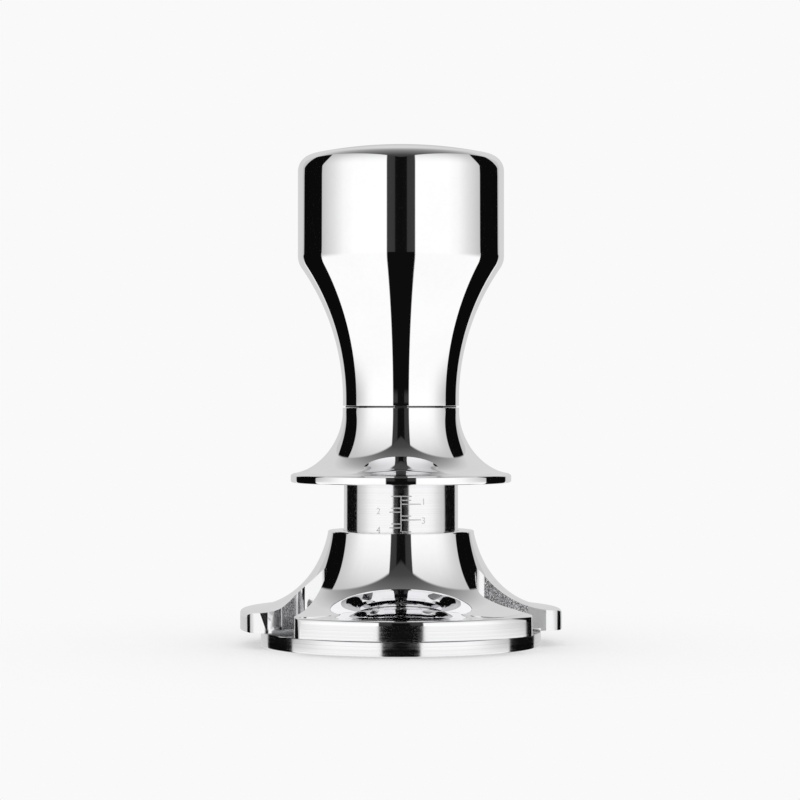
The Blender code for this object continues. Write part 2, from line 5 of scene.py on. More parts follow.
import bmesh
import bpy
import numpy as np
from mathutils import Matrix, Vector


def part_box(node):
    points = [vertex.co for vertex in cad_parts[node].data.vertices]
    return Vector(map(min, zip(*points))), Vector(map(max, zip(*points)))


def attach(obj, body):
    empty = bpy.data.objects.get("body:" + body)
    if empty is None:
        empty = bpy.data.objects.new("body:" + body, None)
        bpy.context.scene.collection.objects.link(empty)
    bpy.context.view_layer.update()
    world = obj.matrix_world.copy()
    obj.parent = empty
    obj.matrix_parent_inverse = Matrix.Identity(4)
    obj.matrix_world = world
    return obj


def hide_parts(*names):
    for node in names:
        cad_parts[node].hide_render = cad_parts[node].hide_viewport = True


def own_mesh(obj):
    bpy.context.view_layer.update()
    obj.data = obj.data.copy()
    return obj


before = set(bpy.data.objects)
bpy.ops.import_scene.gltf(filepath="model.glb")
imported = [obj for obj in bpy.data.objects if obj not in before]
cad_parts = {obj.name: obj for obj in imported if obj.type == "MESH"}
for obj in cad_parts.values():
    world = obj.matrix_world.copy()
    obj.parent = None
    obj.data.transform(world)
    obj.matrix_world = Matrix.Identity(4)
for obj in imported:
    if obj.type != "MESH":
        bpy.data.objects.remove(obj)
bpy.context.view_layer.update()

MM = 0.001

# Driving dimensions, in millimetres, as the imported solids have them
PETAL_RADIUS = 33.5
PETAL_UNDERSIDE = 3.4
PETAL_FACE_TOP = 6.7
LEDGE_RADIUS = 29.7
BELL_TOP = 23.8
# A flare is its middle's radius and height, then its width, its drop and its power
BELL_FLARE = (34.0, 30.0, 19.4, 22.55, 2.2)
BELL_HUB = (10.0, 20.0)
BELL_HUB_BORE = 7.6
BELL_RELIEF_RADIUS = 10.6
BELL_RELIEF_DEPTH = 0.5
BELL_COUNTERBORE = 12.05
LIP_FILLET = 0.22
SHOULDER_FILLET = 0.7
RIM_FILLET = 0.2
SLOT_WIDTH = 7.4
SLOT_INNER_RADIUS = 19.2
SLOT_CORNER = 2.2
SLOT_MOUTH_FILLET = 4.0
SLOT_FROST_RADIUS = 27.0  # outside this the grain of a slot's walls is finer
SLOT_SLANT = radians(22.0)
CUTTER_FOOT = 1.0
CUTTER_TOP = 29.0
CUTTER_OVERSHOOT = 4.0
SLOT_MOUTH_ANGLES = [radians(71.2 + 120.0 * turn) for turn in range(3)]
SLEEVE_RADIUS = 11.9
SLEEVE_BORE = 10.4
SLEEVE_FOOT = 20.2
SLEEVE_TOP = 34.4
SLEEVE_GROOVE = (20.9, 21.9)
SLEEVE_GROOVE_RADIUS = 11.3
SLEEVE_TOP_FILLET = 0.25
SLEEVE_FOOT_FILLET = 0.2
BASE_RADIUS = 29.175
BASE_THICKNESS = 2.95
BOSS_RADIUS = 8.0
BOSS_TOP = 6.2
BOSS_BORE = 3.15
BOSS_BORE_FOOT = 1.6
BOSS_EDGE = 0.4
BOSS_FILLET = 0.3
BASE_TOP_EDGE = 0.22
BASE_FOOT_EDGE = 0.3
COLLAR_RADIUS = 23.0
COLLAR_FLARE = (23.3, 48.5, 11.15, 12.9, 1.85)
COLLAR_FLARE_TOP = 48.2
COLLAR_FLARE_FOOT = 35.66
COLLAR_RIM_TOP = 35.32
COLLAR_UNDERSIDE = 33.8
COLLAR_RECESS_RADIUS = 12.15
COLLAR_RECESS_TOP = 44.1
COLLAR_SPRING_BORE = 9.6
COLLAR_SPRING_TOP = 47.7
COLLAR_RIM_FILLET = 0.35
COLLAR_LOWER_FILLET = 0.45
SPIGOT_RADIUS = 9.3
SPIGOT_TOP = 57.5
SPIGOT_BORE = 7.05
SPIGOT_FILLET = 0.3
NECK_RADIUS = 12.15
SEAM_HEIGHT = 49.55
SEAM_WIDTH = 0.4
SEAM_EDGE = 0.08
GRIP_RADIUS = 21.5
GRIP_WAIST_ARC = 48.0
GRIP_WAIST_HEIGHT = 51.0
GRIP_WAIST_RADIUS = 12.1
GRIP_CHAMBER_RADIUS = 9.5
GRIP_CHAMBER_TOP = 81.6
GRIP_CORNER_FILLET = 4.5
GRIP_SHOULDER_FILLET = 3.5
GRIP_DOME_RADIUS = 90.0
TOTAL_HEIGHT = 104.0
MAIN_SPRING_WIRE = 0.95
MAIN_SPRING_TURNS = 6
LEVELLING_SPRING_WIRE = 0.65
LEVELLING_SPRING_TURNS = 7
SCALE_ZERO = 31.25
SCALE_HALF_UNIT = 0.806
NUMERAL_ZERO = 31.97
NUMERAL_STEP = 1.93
NUMERAL_SIZE = 1.9
NUMERAL_REACH = 4.75
MARK_HALF_WIDTH = 0.11
MARK_FACET = 0.2
CENTRE_LINE_FOOT = 24.0
MARK_GAP = 0.02
MARK_LIFT = 0.012
MARK_DEPTH = 0.02

CAMERA_DISTANCE = 0.572
CAMERA_HEIGHT = 0.05095
CAMERA_SIDE = -0.0002
VIEW_WIDTH = 0.167
SENSOR = 36.0
BACKDROP = 0.947
TENT_STRENGTH = 1.1

# The tent's greys
WHITE_GROUND = 0.97
GREY_ROOF = 0.54
GREY_BACK = 0.62
BLACK_FLAG = 0.003
BLACK_GAP = 0.004
WALL_TONES = [(0.0, 1.0), (0.3, 1.0), (0.37, 0.93), (0.44, 0.75), (0.55, 0.52), (1.0, 0.5)]
GAP_TONES = [(0.0, 0.004), (0.034, 0.005), (0.039, 0.035), (0.1, 0.045)]
WEDGE_TONES = [(0.0, 0.045), (0.15, 0.06), (0.32, 0.13), (0.5, 0.23), (0.66, 0.36), (0.85, 0.56), (1.0, 0.64)]

# The tent's soft edges, each from where it starts to where it ends
FLAG_NEAR_EDGE = (0.55, 0.556)
FLAG_FAR_EDGE = (0.776, 0.784)
FLAG_TOP_EDGE = (1.36, 1.44)
FLAG_LEAN = 0.1
FLAG_TAPER = 0.1
BACK_EDGE = (0.79, 0.8)
GAP_EDGE = (0.083, 0.09)
GAP_FADE = (0.7, 0.95)
WEDGE_WIDTH = 0.5
WEDGE_OPENING = 0.46
WEDGE_SIDE_EDGE = (-0.03, 0.05)
WEDGE_FRONT_EDGE = (-1.15, -0.8)
SMALLEST_DIVISOR = 0.02

FLOOR_HALF = 4.0
FLOOR_DROP = 0.00004
FLOOR_FADE = (0.03, 0.11)
FLOOR_GLOW = (0.35, 1.0)

# The finishes of a turned piece's runs and of the slots' walls, as indices of its material slots
POLISHED_RUN, LINED_RUN, INNER_RUN, MILLED_WALL, FROSTED_WALL = range(5)

# Counts of points along curves and round the axis
RINGS_PER_TURN = 40
DOME_POINTS = 40
BARREL_POINTS = 12
ARC_POINTS = 16
WAIST_POINTS = 90
COLLAR_FLARE_POINTS = 90
BELL_FLARE_POINTS = 110
FINE_STEPS = 252
OUTER_STEPS = 224

FLARE_CROWDING = 2.2
COIL_GAP = 0.1
SAME_POINT = 1e-4
MERGE_DISTANCE = 1e-8
FLARE_TOLERANCE = 0.02
TURNED_CREASE = radians(28)
WIRE_CREASE = radians(40)
CUT_CREASE = radians(30)


# Shapes


def rounded(corners, steps=7):
    """An outline of straight runs, where a corner (radius, height, fillet) is an arc tangent to its runs."""
    points = []
    last_corner = len(corners) - 1
    for i, (radius, height, fillet) in enumerate(corners):
        here = np.array([radius, height])
        if fillet <= 0 or i in (0, last_corner):
            points.append(here)
            continue
        back = np.array(corners[i - 1][:2]) - here
        ahead = np.array(corners[i + 1][:2]) - here
        back /= np.linalg.norm(back)
        ahead /= np.linalg.norm(ahead)
        half = 0.5 * acos(float(np.clip(back @ ahead, -1, 1)))
        centre = here + (back + ahead) / np.linalg.norm(back + ahead) * fillet / np.sin(half)
        first = here + back * fillet / np.tan(half) - centre
        last = here + ahead * fillet / np.tan(half) - centre
        start = atan2(first[1], first[0])
        sweep = (atan2(last[1], last[0]) - start + pi) % tau - pi
        angles = start + sweep * np.linspace(0, 1, steps)
        points.extend(centre + fillet * np.stack([np.cos(angles), np.sin(angles)], 1))
    return np.array(points)


def flare_radius(height, flare):
    """Radius of a concave flare at a height: middle radius less width times (1 - v^n)^(1/n),
    where v is the fall below the middle height as a share of the drop, and n the power."""
    middle_radius, middle_height, width, drop, power = flare
    fall = np.clip((middle_height - np.asarray(height, float)) / drop, 0.0, 1.0)
    return middle_radius - width * (1.0 - fall**power) ** (1.0 / power)


def flare_run(flare, top, foot, count):
    """Points down a flare, crowded towards its foot, where it turns fastest."""
    share = np.linspace(0, 1, count)
    height = top + (foot - top) * (1 - (1 - share) ** FLARE_CROWDING)
    return np.stack([flare_radius(height, flare), height], 1)


def new_object(name, mesh):
    obj = bpy.data.objects.new(name, mesh)
    bpy.context.scene.collection.objects.link(obj)
    return obj


def clean(mesh, merge=False, outward=False):
    """Merges points that coincide, and turns the faces outwards."""
    shape = bmesh.new()
    shape.from_mesh(mesh)
    if merge:
        bmesh.ops.remove_doubles(shape, verts=shape.verts, dist=MERGE_DISTANCE)
    if outward:
        bmesh.ops.recalc_face_normals(shape, faces=shape.faces)
    shape.to_mesh(mesh)
    shape.free()


def turned_piece(name, runs, steps=OUTER_STEPS):
    """A closed profile spun about Z: point (u, t) lies at radius r(t) and height z(t) of the profile, at
    angle u. Runs are (points, finish) in order down the outer side and up the inner side."""
    outline = np.concatenate([points for points, _ in runs])
    finishes = np.concatenate([np.full(len(points), finish) for points, finish in runs])
    keep = np.linalg.norm(outline - np.roll(outline, -1, 0), axis=1) > SAME_POINT
    outline, finishes = outline[keep], finishes[keep]
    rows = len(outline)
    angle = tau * np.arange(steps) / steps
    grid = np.empty((rows, steps, 3))
    grid[..., 0] = outline[:, :1] * np.cos(angle)
    grid[..., 1] = outline[:, :1] * np.sin(angle)
    grid[..., 2] = outline[:, 1:]
    row, column = np.meshgrid(np.arange(rows), np.arange(steps), indexing="ij")
    below, beside = (row + 1) % rows, (column + 1) % steps
    faces = np.stack(
        [row * steps + column, below * steps + column, below * steps + beside, row * steps + beside], -1
    )
    mesh = bpy.data.meshes.new(name)
    mesh.from_pydata((grid.reshape(-1, 3) * MM).tolist(), [], faces.reshape(-1, 4).tolist())
    mesh.polygons.foreach_set("material_index", np.repeat(finishes, steps).astype(np.int32))
    clean(mesh, merge=True)
    mesh.shade_smooth()
    mesh.set_sharp_from_angle(angle=TURNED_CREASE)
    return new_object(name, mesh)


def tube(name, path, radius, sides=14):
    """A round tube along a path: each ring is the wire's circle in the plane across the path."""
    ahead = np.gradient(path, axis=0)
    ahead /= np.linalg.norm(ahead, axis=1, keepdims=True)
    outward = path * [1, 1, 0]
    outward /= np.linalg.norm(outward, axis=1, keepdims=True)
    across = np.cross(ahead, outward)
    turn = tau * np.arange(sides) / sides
    grid = path[:, None] + radius * (
        np.cos(turn)[None, :, None] * outward[:, None] + np.sin(turn)[None, :, None] * across[:, None]
    )
    rows = len(path)
    row, column = np.meshgrid(np.arange(rows - 1), np.arange(sides), indexing="ij")
    beside = (column + 1) % sides
    here, ahead_row = row * sides, (row + 1) * sides
    faces = np.stack([here + column, ahead_row + column, ahead_row + beside, here + beside], -1)
    caps = [list(range(sides)), list(range((rows - 1) * sides, rows * sides))]
    mesh = bpy.data.meshes.new(name)
    mesh.from_pydata((grid.reshape(-1, 3) * MM).tolist(), [], faces.reshape(-1, 4).tolist() + caps)
    clean(mesh, outward=True)
    mesh.shade_smooth()
    mesh.set_sharp_from_angle(angle=WIRE_CREASE)
    return new_object(name, mesh)


def spring(name, node, wire, turns):
    """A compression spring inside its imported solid's box: a helix of steady radius, whose height grows slowly
    over its closed end turns and evenly over its open ones."""
    low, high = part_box(node)
    foot, top = low.z / MM + wire, high.z / MM - wire
    middle = (high.x - low.x) / 2 / MM - wire
    turn = np.linspace(0, turns, turns * RINGS_PER_TURN + 1)
    closed_pitch = 2 * wire + COIL_GAP
    open_pitch = (top - foot - 2 * closed_pitch) / (turns - 2)
    rise = closed_pitch * (np.minimum(turn, 1) + np.maximum(turn - turns + 1, 0))
    rise += open_pitch * np.clip(turn - 1, 0, turns - 2)
    path = np.stack([middle * np.cos(tau * turn), middle * np.sin(tau * turn), foot + rise], 1)
    return tube(name, path, wire)


# Shader node groups


def group(name, inputs, outputs):
    """A new node group of values, with inputs {name: default} and named outputs, and its two end nodes."""
    tree = bpy.data.node_groups.new(name, "ShaderNodeTree")
    for label, default in inputs.items():
        socket = tree.interface.new_socket(label, in_out="INPUT", socket_type="NodeSocketFloat")
        socket.default_value = default
    for label in outputs:
        tree.interface.new_socket(label, in_out="OUTPUT", socket_type="NodeSocketFloat")
    return tree, tree.nodes.new("NodeGroupInput"), tree.nodes.new("NodeGroupOutput")


def noise(tree, vector, scale, detail):
    node = tree.nodes.new("ShaderNodeTexNoise")
    node.inputs["Scale"].default_value = scale
    node.inputs["Detail"].default_value = detail
    tree.links.new(vector, node.inputs["Vector"])
    return node.outputs["Fac"]


def math(tree, operation, *values):
    node = tree.nodes.new("ShaderNodeMath")
    node.operation = operation
    for socket, value in zip(node.inputs, values):
        if isinstance(value, (int, float)):
            socket.default_value = value
        else:
            tree.links.new(value, socket)
    return node.outputs[0]


def remap(tree, value, low, high, to_low, to_high):
    node = tree.nodes.new("ShaderNodeMapRange")
    for label, amount in (("From Min", low), ("From Max", high), ("To Min", to_low), ("To Max", to_high)):
        if isinstance(amount, (int, float)):
            node.inputs[label].default_value = amount
        else:
            tree.links.new(amount, node.inputs[label])
    tree.links.new(value, node.inputs["Value"])
    return node.outputs["Result"]


def ring_vector(tree):
    """(radius, height) of a point about Z, so that noise read on it draws rings round a turned piece."""
    place = tree.nodes.new("ShaderNodeTexCoord")
    split = tree.nodes.new("ShaderNodeSeparateXYZ")
    tree.links.new(place.outputs["Object"], split.inputs[0])
    squares = [math(tree, "POWER", split.outputs[axis], 2.0) for axis in (0, 1)]
    radius = math(tree, "SQRT", math(tree, "ADD", *squares))
    join = tree.nodes.new("ShaderNodeCombineXYZ")
    tree.links.new(radius, join.inputs[0])
    tree.links.new(split.outputs[2], join.inputs[2])
    return join.outputs[0]


def polish_haze():
    """Where a polished surface has picked up faint cloudiness: a slow noise and a fine one together."""
    tree, ends_in, ends_out = group("polish_haze", {"Least": 0.02, "Most": 0.05}, ("Roughness", "Tone"))
    place = tree.nodes.new("ShaderNodeTexCoord")
    slow = noise(tree, place.outputs["Object"], 90.0, 3.0)
    fine = noise(tree, place.outputs["Object"], 900.0, 2.0)
    mixed = math(tree, "ADD", math(tree, "MULTIPLY", slow, 0.7), math(tree, "MULTIPLY", fine, 0.3))
    rough = remap(tree, mixed, 0.35, 0.7, ends_in.outputs["Least"], ends_in.outputs["Most"])
    tree.links.new(rough, ends_out.inputs["Roughness"])
    tree.links.new(remap(tree, mixed, 0.3, 0.7, 1.0, 0.96), ends_out.inputs["Tone"])
    return tree


def turned_lines():
    """Lathe lines round the axis: noise on (radius, height), fine along the profile and unbroken round it."""
    tree, ends_in, ends_out = group(
        "turned_lines",
        {"Lines per Metre": 9000.0, "Least": 0.06, "Most": 0.2},
        ("Height", "Roughness", "Tone"),
    )
    rings = tree.nodes.new("ShaderNodeTexNoise")
    tree.links.new(ring_vector(tree), rings.inputs["Vector"])
    tree.links.new(ends_in.outputs["Lines per Metre"], rings.inputs["Scale"])
    rings.inputs["Detail"].default_value = 3.0
    tree.links.new(rings.outputs["Fac"], ends_out.inputs["Height"])
    rough = remap(tree, rings.outputs["Fac"], 0.3, 0.7, ends_in.outputs["Least"], ends_in.outputs["Most"])
    tree.links.new(rough, ends_out.inputs["Roughness"])
    tree.links.new(remap(tree, rings.outputs["Fac"], 0.3, 0.7, 0.82, 1.0), ends_out.inputs["Tone"])
    return tree


def milled_grain():
    """The coarse grain of an unpolished milled wall: noise with much fine detail, dark in its pits."""
    tree, ends_in, ends_out = group(
        "milled_grain", {"Grain per Metre": 3200.0}, ("Height", "Tone", "Roughness")
    )
    place = tree.nodes.new("ShaderNodeTexCoord")
    grain = tree.nodes.new("ShaderNodeTexNoise")
    tree.links.new(place.outputs["Object"], grain.inputs["Vector"])
    tree.links.new(ends_in.outputs["Grain per Metre"], grain.inputs["Scale"])
    grain.inputs["Detail"].default_value = 4.0
    grain.inputs["Roughness"].default_value = 0.7
    tree.links.new(grain.outputs["Fac"], ends_out.inputs["Height"])
    tree.links.new(remap(tree, grain.outputs["Fac"], 0.4, 0.6, 0.2, 1.0), ends_out.inputs["Tone"])
    tree.links.new(remap(tree, grain.outputs["Fac"], 0.35, 0.65, 0.42, 0.2), ends_out.inputs["Roughness"])
    return tree


HAZE = polish_haze()
LINES = turned_lines()
GRAIN = milled_grain()


# Materials


def new_material(name, metallic, colour):
    material = bpy.data.materials.new(name)
    material.use_nodes = True
    shader = material.node_tree.nodes["Principled BSDF"]
    shader.inputs["Metallic"].default_value = metallic
    shader.inputs["Base Color"].default_value = (*colour, 1.0)
    return material, material.node_tree, shader


def use(tree, node_group, **values):
    node = tree.nodes.new("ShaderNodeGroup")
    node.node_tree = node_group
    for label, value in values.items():
        node.inputs[label.replace("_", " ")].default_value = value
    return node


def tint(tree, shader, colour, tone):
    """Base colour times a tone that varies over the surface."""
    mix = tree.nodes.new("ShaderNodeMix")
    mix.data_type = "RGBA"
    mix.blend_type = "MULTIPLY"
    mix.inputs["Factor"].default_value = 1.0
    mix.inputs["A"].default_value = (*colour, 1.0)
    tree.links.new(tone, mix.inputs["B"])
    tree.links.new(mix.outputs["Result"], shader.inputs["Base Color"])


def bump(tree, shader, height, distance, strength=1.0):
    node = tree.nodes.new("ShaderNodeBump")
    node.inputs["Distance"].default_value = distance
    node.inputs["Strength"].default_value = strength
    tree.links.new(height, node.inputs["Height"])
    tree.links.new(node.outputs["Normal"], shader.inputs["Normal"])


def mirror_steel():
    colour = (0.93, 0.93, 0.94)
    material, tree, shader = new_material("mirror_steel", 1.0, colour)
    haze = use(tree, HAZE, Least=0.012, Most=0.035)
    tree.links.new(haze.outputs["Roughness"], shader.inputs["Roughness"])
    tint(tree, shader, colour, haze.outputs["Tone"])
    return material


def lined_steel(name="lined_steel", depth=0.0000012, least=0.05, most=0.16, colour=(0.92, 0.92, 0.93)):
    """Polished steel that keeps the lathe's fine lines, on rims and on the sleeve."""
    material, tree, shader = new_material(name, 1.0, colour)
    lines = use(tree, LINES, Lines_per_Metre=9000.0, Least=least, Most=most)
    tree.links.new(lines.outputs["Roughness"], shader.inputs["Roughness"])
    tint(tree, shader, colour, lines.outputs["Tone"])
    bump(tree, shader, lines.outputs["Height"], depth)
    return material


def milled_steel():
    material, tree, shader = new_material("milled_steel", 1.0, (0.85, 0.85, 0.86))
    grain = use(tree, GRAIN, Grain_per_Metre=3000.0)
    tree.links.new(grain.outputs["Roughness"], shader.inputs["Roughness"])
    tint(tree, shader, (0.88, 0.88, 0.9), grain.outputs["Tone"])
    bump(tree, shader, grain.outputs["Height"], 0.00012, 0.75)
    return material


def plain_turned_steel():
    return lined_steel("plain_turned_steel", 0.000003, 0.16, 0.32, (0.7, 0.71, 0.73))


def frosted_mark():
    material, tree, shader = new_material("frosted_mark", 1.0, (0.8, 0.8, 0.8))
    grain = use(tree, GRAIN, Grain_per_Metre=9000.0)
    tint(tree, shader, (0.82, 0.82, 0.82), remap(tree, grain.outputs["Tone"], 0.2, 1.0, 0.85, 1.0))
    shader.inputs["Roughness"].default_value = 0.6
    return material


def drawn_wire():
    colour = (0.5, 0.51, 0.53)
    material, tree, shader = new_material("drawn_wire", 1.0, colour)
    haze = use(tree, HAZE, Least=0.2, Most=0.38)
    tree.links.new(haze.outputs["Roughness"], shader.inputs["Roughness"])
    tint(tree, shader, colour, haze.outputs["Tone"])
    return material


def bearing_bronze():
    return lined_steel("bearing_bronze", 0.000003, 0.2, 0.38, (0.72, 0.5, 0.26))


def soft_finish(name, colour, least, most, depth):
    """Moulded nylon or rubber: a faint pebbled surface."""
    material, tree, shader = new_material(name, 0.0, colour)
    grain = use(tree, GRAIN, Grain_per_Metre=2500.0)
    haze = use(tree, HAZE, Least=least, Most=most)
    tree.links.new(haze.outputs["Roughness"], shader.inputs["Roughness"])
    tint(tree, shader, colour, haze.outputs["Tone"])
    bump(tree, shader, grain.outputs["Height"], depth, 0.5)
    return material


MIRROR = mirror_steel()
LINED = lined_steel()
TURNED = plain_turned_steel()
MILLED = milled_steel()
MARK = frosted_mark()
WIRE = drawn_wire()
BRONZE = bearing_bronze()
NYLON = soft_finish("natural_nylon", (0.86, 0.85, 0.8), 0.4, 0.55, 0.00002)
RUBBER = soft_finish("black_rubber", (0.018, 0.018, 0.019), 0.55, 0.75, 0.00003)


def finish_turned(obj, extra=()):
    for material in (MIRROR, LINED, TURNED, *extra):
        obj.data.materials.append(material)


# Pieces


def mirror_grip():
    """The handle: a shallow dome, a rounded shoulder, a straight barrel and a waist that is one long arc."""
    dome_foot = TOTAL_HEIGHT - GRIP_DOME_RADIUS
    fillet_radius = GRIP_RADIUS - GRIP_SHOULDER_FILLET
    fillet_height = dome_foot + np.sqrt((GRIP_DOME_RADIUS - GRIP_SHOULDER_FILLET) ** 2 - fillet_radius**2)
    tilt = np.arcsin(fillet_radius / (GRIP_DOME_RADIUS - GRIP_SHOULDER_FILLET))
    lean = np.linspace(0, tilt, DOME_POINTS)
    dome = np.stack([GRIP_DOME_RADIUS * np.sin(lean), dome_foot + GRIP_DOME_RADIUS * np.cos(lean)], 1)
    turn = np.linspace(tilt, pi / 2, ARC_POINTS)[1:]
    outward = np.stack([np.sin(turn), np.cos(turn)], 1)
    shoulder = np.array([fillet_radius, fillet_height]) + GRIP_SHOULDER_FILLET * outward
    centre = np.array([GRIP_WAIST_RADIUS + GRIP_WAIST_ARC, GRIP_WAIST_HEIGHT])
    fillet_u = GRIP_RADIUS - GRIP_CORNER_FILLET
    reach = GRIP_WAIST_ARC + GRIP_CORNER_FILLET
    corner = np.array([fillet_u, centre[1] + np.sqrt(reach**2 - (centre[0] - fillet_u) ** 2)])
    towards = np.arctan2(centre[1] - corner[1], centre[0] - corner[0])
    turn = np.linspace(0, towards, ARC_POINTS)
    knee = corner + GRIP_CORNER_FILLET * np.stack([np.cos(turn), np.sin(turn)], 1)
    touch = np.arctan2(knee[-1, 1] - centre[1], centre[0] - knee[-1, 0])
    turn = np.linspace(touch, 0, WAIST_POINTS)[1:]
    waist = centre + GRIP_WAIST_ARC * np.stack([-np.cos(turn), np.sin(turn)], 1)
    barrel = np.linspace(shoulder[-1], knee[0], BARREL_POINTS)[1:-1]
    foot = SEAM_HEIGHT + SEAM_WIDTH / 2
    neck = rounded(
        [
            (GRIP_WAIST_RADIUS, GRIP_WAIST_HEIGHT - 0.2, 0),
            (GRIP_WAIST_RADIUS, foot, SEAM_EDGE),
            (GRIP_CHAMBER_RADIUS, foot, 0),
        ]
    )
    chamber = np.array(
        [
            (GRIP_CHAMBER_RADIUS, foot + 0.01),
            (GRIP_CHAMBER_RADIUS, GRIP_CHAMBER_TOP),
            (0.0, GRIP_CHAMBER_TOP),
        ]
    )
    outside = np.concatenate([dome, shoulder, barrel, knee, waist, neck])
    piece = turned_piece("mirror_grip", [(outside, POLISHED_RUN), (chamber, INNER_RUN)])
    finish_turned(piece)
    stands_for(piece, "handle", "handle_grip")


def stands_for(piece, body, node):
    """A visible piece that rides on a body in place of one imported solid."""
    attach(piece, body)
    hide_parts(node)


def mirror_collar():
    """The flared collar: a flare of superellipse section down to a thin round rim, and a spigot above it."""
    top = SEAM_HEIGHT - SEAM_WIDTH / 2
    head = rounded(
        [
            (SPIGOT_BORE, SPIGOT_TOP, 0),
            (SPIGOT_RADIUS, SPIGOT_TOP, SPIGOT_FILLET),
            (SPIGOT_RADIUS, top, 0),
            (NECK_RADIUS, top, SEAM_EDGE),
            (NECK_RADIUS, COLLAR_FLARE_TOP + 0.1, 0),
        ]
    )
    flare = flare_run(COLLAR_FLARE, COLLAR_FLARE_TOP, COLLAR_FLARE_FOOT, COLLAR_FLARE_POINTS)
    rim = rounded(
        [
            (*flare[-1], 0),
            (COLLAR_RADIUS, COLLAR_RIM_TOP, COLLAR_RIM_FILLET),
            (COLLAR_RADIUS, COLLAR_UNDERSIDE, COLLAR_LOWER_FILLET),
            (COLLAR_RADIUS - 0.8, COLLAR_UNDERSIDE, 0),
            (COLLAR_RECESS_RADIUS + 0.25, COLLAR_UNDERSIDE, 0),
        ]
    )[1:]
    recess = np.array(
        [
            (COLLAR_RECESS_RADIUS, COLLAR_UNDERSIDE + 0.25),
            (COLLAR_RECESS_RADIUS, COLLAR_RECESS_TOP),
            (COLLAR_SPRING_BORE, COLLAR_RECESS_TOP),
            (COLLAR_SPRING_BORE, COLLAR_SPRING_TOP),
            (SPIGOT_BORE, COLLAR_SPRING_TOP),
        ]
    )
    outside = np.concatenate([head, flare, rim])
    piece = turned_piece("mirror_collar", [(outside, POLISHED_RUN), (recess, INNER_RUN)])
    finish_turned(piece)
    stands_for(piece, "handle", "collar")


def lined_sleeve():
    """The sleeve that carries the depth scale: a thin tube with rounded edges and a groove at its foot."""
    groove_low, groove_high = SLEEVE_GROOVE
    outer = rounded(
        [
            (SLEEVE_BORE, SLEEVE_TOP, 0),
            (SLEEVE_RADIUS, SLEEVE_TOP, SLEEVE_TOP_FILLET),
            (SLEEVE_RADIUS, groove_high, 0),
            (SLEEVE_GROOVE_RADIUS, groove_high, 0),
            (SLEEVE_GROOVE_RADIUS, groove_low, 0),
            (SLEEVE_RADIUS, groove_low, 0),
            (SLEEVE_RADIUS, SLEEVE_FOOT, SLEEVE_FOOT_FILLET),
            (SLEEVE_BORE, SLEEVE_FOOT, 0),
        ]
    )
    piece = turned_piece("lined_sleeve", [(outer, LINED_RUN)])
    finish_turned(piece)
    stands_for(piece, "bell", "scale_sleeve")


def wrap(flat, lift):
    """Points (arc length, height) carried round the sleeve and lifted off it: the angle from -Y is the arc
    length over the radius."""
    angle = flat[:, 0] / SLEEVE_RADIUS - pi / 2
    radius = SLEEVE_RADIUS + lift
    return np.stack([radius * np.cos(angle), radius * np.sin(angle), flat[:, 1]], 1)


def mark_strip(left, right, low, high):
    """One mark of the scale as a thin raised patch: an outer and a lower sheet, closed at the edges."""
    columns = max(2, int((right - left) / MARK_FACET) + 1)
    along = np.linspace(left, right, columns)
    lower = np.stack([along, np.full(columns, low)], 1)
    upper = np.stack([along[::-1], np.full(columns, high)], 1)
    outline = np.concatenate([lower, upper])
    count = len(outline)
    verts = np.concatenate([wrap(outline, MARK_LIFT), wrap(outline, -MARK_DEPTH)])
    quads = [[i, i + 1, count - 2 - i, count - 1 - i] for i in range(columns - 1)]
    faces = quads + [[i + count for i in quad[::-1]] for quad in quads]
    faces += [[(i + 1) % count, i, i + count, (i + 1) % count + count] for i in range(count)]
    return verts, faces


def digit_shapes(number, centre, size):
    """A numeral as a raised patch wrapped on the sleeve, centred at (arc length, height)."""
    curve = bpy.data.curves.new("numeral", "FONT")
    curve.body = str(number)
    curve.size = size
    curve.align_x = "CENTER"
    curve.align_y = "CENTER"
    curve.extrude = (MARK_LIFT + MARK_DEPTH) / 2
    holder = new_object("numeral", curve)
    bpy.context.view_layer.update()
    mesh = bpy.data.meshes.new_from_object(holder.evaluated_get(bpy.context.evaluated_depsgraph_get()))
    flat = np.empty(len(mesh.vertices) * 3)
    mesh.vertices.foreach_get("co", flat)
    flat = flat.reshape(-1, 3)
    faces = [list(face.vertices) for face in mesh.polygons]
    verts = wrap(flat[:, :2] + centre, flat[:, 2] + (MARK_LIFT - MARK_DEPTH) / 2)
    bpy.data.objects.remove(holder)
    bpy.data.meshes.remove(mesh)
    bpy.data.curves.remove(curve)
    return verts, faces


